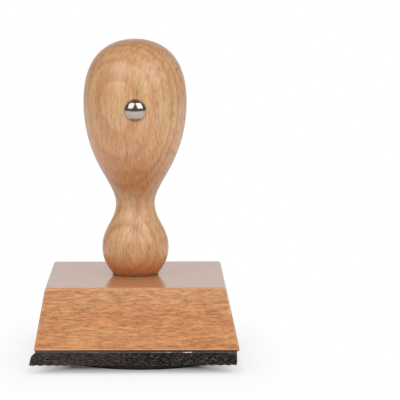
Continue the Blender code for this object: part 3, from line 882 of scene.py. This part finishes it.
def make_foam():
    """Matt open cells in rows that the knife drew out. Painted shade darkens the pits and the sunken
    fuzz, and painted highlights lighten the raised, torn fuzz. The right end was cut last, with a
    keener blade, and is darker."""
    material, tree, shader = start_material("charcoal_foam")
    place = in_millimetres(tree)
    rows = stretched(tree, place, 0.48, 0.48, 1.25)
    cells = add(tree, "TexVoronoi", {"Vector": rows, "Scale": 1.5})
    pits = ramp(tree, cells.outputs["Distance"], 0.15, 0.60)
    patches = clouds(tree, place, scale=0.35, detail=3.0)
    fuzz = clouds(tree, rows, scale=2.4, detail=3.0, roughness=0.7)
    # The dark cell pits are painted shade.
    dark = mix(tree, pits, shown(26, 22, 23), shown(64, 58, 55))
    tone = mix(tree, ramp(tree, patches, 0.4, 0.65, 0.0, 0.45), dark, shown(78, 60, 58))
    sideways = add(tree, "SeparateXYZ", {0: place}).outputs[0]
    keen = ramp(tree, sideways, KEEN_LEFT, KEEN_RIGHT, 1.0, 0.50)
    tone = mix(tree, 1.0, tone, add(tree, "CombineXYZ", {0: keen, 1: keen, 2: keen}).outputs[0], "MULTIPLY")
    torn = ramp(tree, sideways, TORN_LEFT, TORN_RIGHT, 0.65, 0.88)
    # Painted highlights on the raised fuzz and painted shade in the sunken fuzz.
    raised = calc(tree, "MULTIPLY", ramp(tree, fuzz, 0.53, 0.66), torn)
    sunken = calc(tree, "MULTIPLY", ramp(tree, fuzz, 0.36, 0.47, 1.0, 0.0), torn)
    tone = mix(tree, raised, tone, shown(106, 99, 95))
    tone = mix(tree, sunken, tone, shown(14, 12, 12))
    tree.links.new(tone, shader.inputs["Base Color"])
    tree.links.new(ramp(tree, fuzz, 0.3, 0.7, 0.85, 1.0), shader.inputs["Roughness"])
    shader.inputs["Specular IOR Level"].default_value = 0.15
    relief(tree, shader, calc(tree, "ADD", pits, fuzz), 0.7, 0.25 * MM)
    return material


wear(foam, make_foam(), "stamp")
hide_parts("foam_cushion")
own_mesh(foam)

# Rubber die
# Black rubber, vulcanised in a mould: an oval backing with a raised ornament on its lower face,
# a rosette between leaf sprigs inside beads and an oval line. It is stuck to the foam a little
# to the right of the handle's axis.

die_low, die_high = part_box("rubber_die")
die_centre = (die_low + die_high) / 2.0
half_width = (die_high.x - die_low.x) / 2.0
half_length = (die_high.y - die_low.y) / 2.0
RELIEF_HEIGHT = 0.8 * MM
BORDER_MARGIN = 0.7 * MM
BORDER_LINE = 1.0 * MM
BEAD_COUNT = 32
BEAD_RADIUS = 0.7 * MM
BEAD_INSET = 2.6 * MM
EYE_RADIUS = 3.4 * MM
PETAL_COUNT = 8
PETAL_START = 4.6 * MM
PETAL_LENGTH = 9.4 * MM
PETAL_WIDTH = 5.6 * MM
PETAL_LINE = 0.8 * MM
LEAF_LENGTH = 6.4 * MM
LEAF_WIDTH = 3.0 * MM
LEAF_SPREAD_DEG = 62.0
SPRIG_GAP = 1.0 * MM
MOULD_ROUND = 0.09 * MM
MOULD_STEPS = 2
LINE_STEPS = 40
BEAD_STEPS = 5
EYE_STEPS = 14
LEAF_STEPS = 12
BACKING_STEPS = 48
DRAWN_SCALE = 1.0 / MM
QUARTER_ARC = 4.0 / 3.0 * (math.sqrt(2.0) - 1.0)


def new_drawing(name, thickness):
    """A flat filled drawing in millimetres, as thick as given, with soft moulded edges."""
    drawing = bpy.data.curves.new(name, "CURVE")
    drawing.dimensions = "2D"
    drawing.fill_mode = "BOTH"
    drawing.extrude = DRAWN_SCALE * (thickness / 2.0 - MOULD_ROUND)
    drawing.bevel_depth = DRAWN_SCALE * MOULD_ROUND
    drawing.bevel_resolution = MOULD_STEPS
    drawing.offset = -DRAWN_SCALE * MOULD_ROUND
    return drawing


def draw_loop(drawing, points, steps):
    """One closed curve from (point, pull in, pull out) triples."""
    spline = drawing.splines.new("BEZIER")
    spline.bezier_points.add(len(points) - 1)
    spline.use_cyclic_u = True
    spline.resolution_u = steps
    for knot, (point, pull_in, pull_out) in zip(spline.bezier_points, points):
        knot.handle_left_type = "FREE"
        knot.handle_right_type = "FREE"
        knot.co = (*(point * DRAWN_SCALE), 0.0)
        knot.handle_left = (*(pull_in * DRAWN_SCALE), 0.0)
        knot.handle_right = (*(pull_out * DRAWN_SCALE), 0.0)


def draw_oval(drawing, centre, half_x, half_y, steps):
    points = []
    for i in range(4):
        angle = math.radians(90.0 * i)
        out = Vector((half_x * math.cos(angle), half_y * math.sin(angle)))
        along = Vector((-half_x * math.sin(angle), half_y * math.cos(angle))) * QUARTER_ARC
        points.append((centre + out, centre + out - along, centre + out + along))
    draw_loop(drawing, points, steps)


def draw_leaf(drawing, root, angle, length, width):
    """A pointed leaf from its root, along the angle from +X."""
    along = Vector((math.cos(angle), math.sin(angle)))
    across = Vector((-along.y, along.x))
    tip = root + along * length
    pull = along * (length / 3.0)
    bulge = across * (width / 1.5)
    points = [
        (root, root + pull + bulge, root + pull - bulge),
        (tip, tip - pull - bulge, tip - pull + bulge),
    ]
    draw_loop(drawing, points, LEAF_STEPS)


def draw_ornament(drawing):
    """The oval line, the beads, the rosette and the two sprigs."""
    middle = Vector((0.0, 0.0))
    line_x = half_width - BORDER_MARGIN
    line_y = half_length - BORDER_MARGIN
    draw_oval(drawing, middle, line_x, line_y, LINE_STEPS)
    draw_oval(drawing, middle, line_x - BORDER_LINE, line_y - BORDER_LINE, LINE_STEPS)
    bead_x = line_x - BEAD_INSET
    bead_y = line_y - BEAD_INSET
    for i in range(BEAD_COUNT):
        angle = math.tau * i / BEAD_COUNT
        bead = Vector((bead_x * math.cos(angle), bead_y * math.sin(angle)))
        draw_oval(drawing, bead, BEAD_RADIUS, BEAD_RADIUS, BEAD_STEPS)

    draw_oval(drawing, middle, EYE_RADIUS, EYE_RADIUS, EYE_STEPS)
    end_line = PETAL_LINE * PETAL_LENGTH / PETAL_WIDTH
    for i in range(PETAL_COUNT):
        angle = math.tau * (i + 0.5) / PETAL_COUNT
        along = Vector((math.cos(angle), math.sin(angle)))
        draw_leaf(drawing, along * PETAL_START, angle, PETAL_LENGTH, PETAL_WIDTH)
        inner_root = along * (PETAL_START + end_line)
        inner_length = PETAL_LENGTH - 2.0 * end_line
        draw_leaf(drawing, inner_root, angle, inner_length, PETAL_WIDTH - 2.0 * PETAL_LINE)

    spread = math.radians(LEAF_SPREAD_DEG)
    fan_y = bead_y - BEAD_RADIUS - SPRIG_GAP - LEAF_LENGTH - LEAF_WIDTH / 2.0
    for end in (-1.0, 1.0):
        for turn in (-spread, 0.0, spread):
            angle = end * math.pi / 2.0 + turn
            out = Vector((math.cos(angle), math.sin(angle))) * (LEAF_WIDTH / 2.0)
            draw_leaf(drawing, out + Vector((0.0, end * fan_y)), angle, LEAF_LENGTH, LEAF_WIDTH)


def moulded(drawing, bottom, thickness):
    """The drawing as a mesh in place under the foam."""
    stand_in = put_in_scene(drawing.name, drawing)
    stand_in.scale = (1.0 / DRAWN_SCALE,) * 3
    stand_in.location = (die_centre.x, die_centre.y, bottom + thickness / 2.0)
    bpy.context.view_layer.update()
    graph = bpy.context.evaluated_depsgraph_get()
    mesh = bpy.data.meshes.new_from_object(stand_in.evaluated_get(graph))
    mesh.transform(stand_in.matrix_world)
    name = drawing.name
    bpy.data.objects.remove(stand_in, do_unlink=True)
    work = bmesh.new()
    work.from_mesh(mesh)
    bmesh.ops.remove_doubles(work, verts=work.verts, dist=0.002 * MM)
    bmesh.ops.recalc_face_normals(work, faces=work.faces)
    work.to_mesh(mesh)
    work.free()
    return put_in_scene(name, mesh)


backing_thickness = die_high.z - RELIEF_HEIGHT
backing_drawing = new_drawing("oval_die_backing", backing_thickness)
draw_oval(backing_drawing, Vector((0.0, 0.0)), half_width, half_length, BACKING_STEPS)
backing = moulded(backing_drawing, RELIEF_HEIGHT, backing_thickness)
ornament_drawing = new_drawing("oval_die_ornament", RELIEF_HEIGHT + MOULD_ROUND)
draw_ornament(ornament_drawing)
ornament = moulded(ornament_drawing, 0.0, RELIEF_HEIGHT + MOULD_ROUND)
for piece in (backing, ornament):
    shade_round(piece, 50.0)


def make_rubber():
    """Matt black rubber with the faint bloom and mottle of a moulded sheet."""
    material, tree, shader = start_material("moulded_black_rubber")
    place = in_millimetres(tree)
    bloom = clouds(tree, place, scale=0.35, detail=4.0, roughness=0.6)
    grain = clouds(tree, place, scale=7.0, detail=3.0)
    tone = mix(tree, ramp(tree, bloom, 0.35, 0.7), shown(82, 83, 86), shown(106, 107, 110))
    tree.links.new(tone, shader.inputs["Base Color"])
    tree.links.new(ramp(tree, bloom, 0.3, 0.7, 0.18, 0.30), shader.inputs["Roughness"])
    shader.inputs["IOR"].default_value = 1.55
    relief(tree, shader, grain, 0.25, 0.04 * MM)
    return material


rubber = make_rubber()
wear(backing, rubber, "printing_die")
wear(ornament, rubber, "printing_die")
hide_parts("rubber_die")

# Table
# A plain white table. To the camera it glows white: the glow is faint under the stamp, grows from just
# inside its footprint and is pure white away from it, so it keeps the stamp's shadow only in part and paints
# it lighter.

TABLE_FRONT = 0.5
TABLE_BACK = 3.0
TABLE_REACH = 3.0
FOOTPRINT_X = 30.0 * MM
FOOTPRINT_Y = 35.0 * MM
SIDE_HASTE = 3.8
SHADOW_HEART = -12.0 * MM
SHADOW_EDGE = 5.0 * MM
SHADOW_END = 60.0 * MM
SHADOW_RISE = 0.6
EDGE_WHITE = 0.80
HEART_WHITE = 0.065


def lay_table():
    """The table ends a little in front of the stamp, where the photographer stands."""
    mesh = bpy.data.meshes.new("white_table")
    work = bmesh.new()
    bmesh.ops.create_grid(work, x_segments=1, y_segments=1, size=1.0)
    for vert in work.verts:
        vert.co.x *= TABLE_REACH
        vert.co.y = TABLE_BACK if vert.co.y > 0.0 else -TABLE_FRONT
    work.to_mesh(mesh)
    work.free()
    return put_in_scene("white_table", mesh)


def linear_ramp(tree, value, low, high, at_low, at_high):
    return add(tree, "MapRange", {0: value, 1: low, 2: high, 3: at_low, 4: at_high}).outputs[0]


def outside_footprint(tree, place):
    """How far a spot of the table lies outside the stamp's footprint, less than 0 inside it."""
    x, y, _ = add(tree, "SeparateXYZ", {0: place}).outputs
    beside = calc(tree, "SUBTRACT", calc(tree, "ABSOLUTE", x), FOOTPRINT_X)
    ahead = calc(tree, "SUBTRACT", calc(tree, "ABSOLUTE", y), FOOTPRINT_Y)
    corner = add(tree, "CombineXYZ", {
        0: calc(tree, "MULTIPLY", calc(tree, "MAXIMUM", beside, 0.0), SIDE_HASTE),
        1: calc(tree, "MAXIMUM", ahead, 0.0),
    }).outputs[0]
    outside = add(tree, "VectorMath", {0: corner}, operation="LENGTH").outputs["Value"]
    inside = calc(tree, "MINIMUM", calc(tree, "MAXIMUM", beside, ahead), 0.0)
    return calc(tree, "ADD", outside, inside)


def make_table_white():
    material, tree, shader = start_material("table_white")
    place = add(tree, "TexCoord").outputs["Object"]
    away = outside_footprint(tree, place)
    near = linear_ramp(tree, away, SHADOW_HEART, SHADOW_EDGE, 0.0, 1.0)
    near = calc(tree, "MULTIPLY", calc(tree, "POWER", near, SHADOW_RISE), EDGE_WHITE)
    far = linear_ramp(tree, away, SHADOW_EDGE, SHADOW_END, 0.0, 1.0 - EDGE_WHITE)
    fade = calc(tree, "ADD", calc(tree, "MAXIMUM", near, HEART_WHITE), far)
    seen = calc(tree, "MULTIPLY", fade, add(tree, "LightPath").outputs["Is Camera Ray"])
    mottle = clouds(tree, place, scale=30.0)
    tone = mix(tree, mottle, shown(246, 246, 247), shown(248, 248, 248))
    tree.links.new(tone, shader.inputs["Base Color"])
    shader.inputs["Roughness"].default_value = 0.8
    shader.inputs["Specular IOR Level"].default_value = 0.1
    glow = add(tree, "Emission", {"Color": (1.0, 1.0, 1.0, 1.0), "Strength": 1.0})
    blend = add(tree, "MixShader", {0: seen, 1: shader.outputs[0], 2: glow.outputs[0]})
    tree.links.new(blend.outputs[0], tree.nodes["Material Output"].inputs["Surface"])
    return material


table = lay_table()
table.data.materials.append(make_table_white())

# Studio
# Two large square softboxes in front of the stamp, left and right, two fill lights beside and
# behind it, and a white room. The left lights are a little weaker. In reflections the room is
# dim all round, except for the white wall straight behind the stamp.

AIM = Vector((0.0, 0.0, 0.05))
SOFTBOX_DISTANCE = 0.75
SOFTBOX_BEARING_DEG = 38.0
SOFTBOX_RISE_DEG = 36.0
SOFTBOX_SIZE = 0.60
SOFTBOX_POWER = 2.42
LEFT_SHARE = 0.88
FILL_DISTANCE = 0.85
FILL_BEARING_DEG = 116.0
FILL_RISE_DEG = 25.0
FILL_SIZE = 0.75
FILL_POWER = 1.75
ROOM_FILL = 0.37
ROOM_BEHIND = 0.62
ROOM_AROUND = 0.10


def hang_light(name, size, power, bearing_deg, rise_deg, distance):
    """A square soft light that faces the stamp. The bearing is 0 in front and grows to the right."""
    lamp = bpy.data.lights.new(name, "AREA")
    lamp.size = size
    lamp.energy = power
    made = bpy.data.objects.new(name, lamp)
    bpy.context.scene.collection.objects.link(made)
    bearing = math.radians(bearing_deg)
    rise = math.radians(rise_deg)
    level = math.cos(rise)
    towards = Vector((math.sin(bearing) * level, -math.cos(bearing) * level, math.sin(rise)))
    made.location = AIM + towards * distance
    made.rotation_euler = towards.to_track_quat("Z", "Y").to_euler()
    return made


for side, sign, share in (("left", -1.0, LEFT_SHARE), ("right", 1.0, 1.0)):
    hang_light(
        f"{side}_softbox",
        SOFTBOX_SIZE,
        SOFTBOX_POWER * share,
        sign * SOFTBOX_BEARING_DEG,
        SOFTBOX_RISE_DEG,
        SOFTBOX_DISTANCE,
    )
    fill_light = hang_light(
        f"{side}_fill",
        FILL_SIZE,
        FILL_POWER * share,
        sign * FILL_BEARING_DEG,
        FILL_RISE_DEG,
        FILL_DISTANCE,
    )
    fill_light.visible_glossy = False


def paint_room():
    """White to the camera, and to polished surfaces a white wall behind and a dim room around."""
    room = bpy.data.worlds.new("white_room")
    room.use_nodes = True
    tree = room.node_tree
    background = tree.nodes["Background"]
    direction = add(tree, "SeparateXYZ", {0: add(tree, "TexCoord").outputs["Generated"]})
    behind = ramp(tree, direction.outputs[1], 0.70, 0.97)
    low = ramp(tree, direction.outputs[2], 0.45, 0.85, 1.0, 0.0)
    wall = calc(tree, "MULTIPLY", behind, low)
    mirrored = calc(tree, "MULTIPLY_ADD", wall, ROOM_BEHIND - ROOM_AROUND, ROOM_AROUND)
    rays = add(tree, "LightPath").outputs
    lit = calc(tree, "SUBTRACT", mirrored, ROOM_FILL)
    glossy = calc(tree, "MULTIPLY_ADD", lit, rays["Is Glossy Ray"], ROOM_FILL)
    seen = calc(tree, "MAXIMUM", rays["Is Camera Ray"], rays["Is Transmission Ray"])
    strength = calc(tree, "MAXIMUM", glossy, seen)
    tree.links.new(strength, background.inputs["Strength"])
    background.inputs["Color"].default_value = (1.0, 1.0, 1.0, 1.0)
    bpy.context.scene.world = room


paint_room()

# Camera
# A long lens on a full-size sensor, a little above the top of the stamp and slightly to its
# right, that looks down at it.

CAMERA_PLACE = Vector((7.04, -722.36, 113.88)) * MM
CAMERA_YAW = 0.01651
CAMERA_PITCH = 0.09379
CAMERA_ROLL = -0.00044
CAMERA_LENS = 222.53
CAMERA_SENSOR = 36.0
CAMERA_SIGHT = 20.0

camera_data = bpy.data.cameras.new("camera")
camera_data.lens = CAMERA_LENS
camera_data.sensor_width = CAMERA_SENSOR
camera_data.clip_end = CAMERA_SIGHT
camera = bpy.data.objects.new("camera", camera_data)
bpy.context.scene.collection.objects.link(camera)
camera.matrix_world = (
    Matrix.Translation(CAMERA_PLACE)
    @ Matrix.Rotation(-CAMERA_YAW, 4, "Z")
    @ Matrix.Rotation(math.radians(90.0) - CAMERA_PITCH, 4, "X")
    @ Matrix.Rotation(CAMERA_ROLL, 4, "Z")
)
bpy.context.scene.camera = camera
bpy.context.scene.view_settings.view_transform = "Standard"
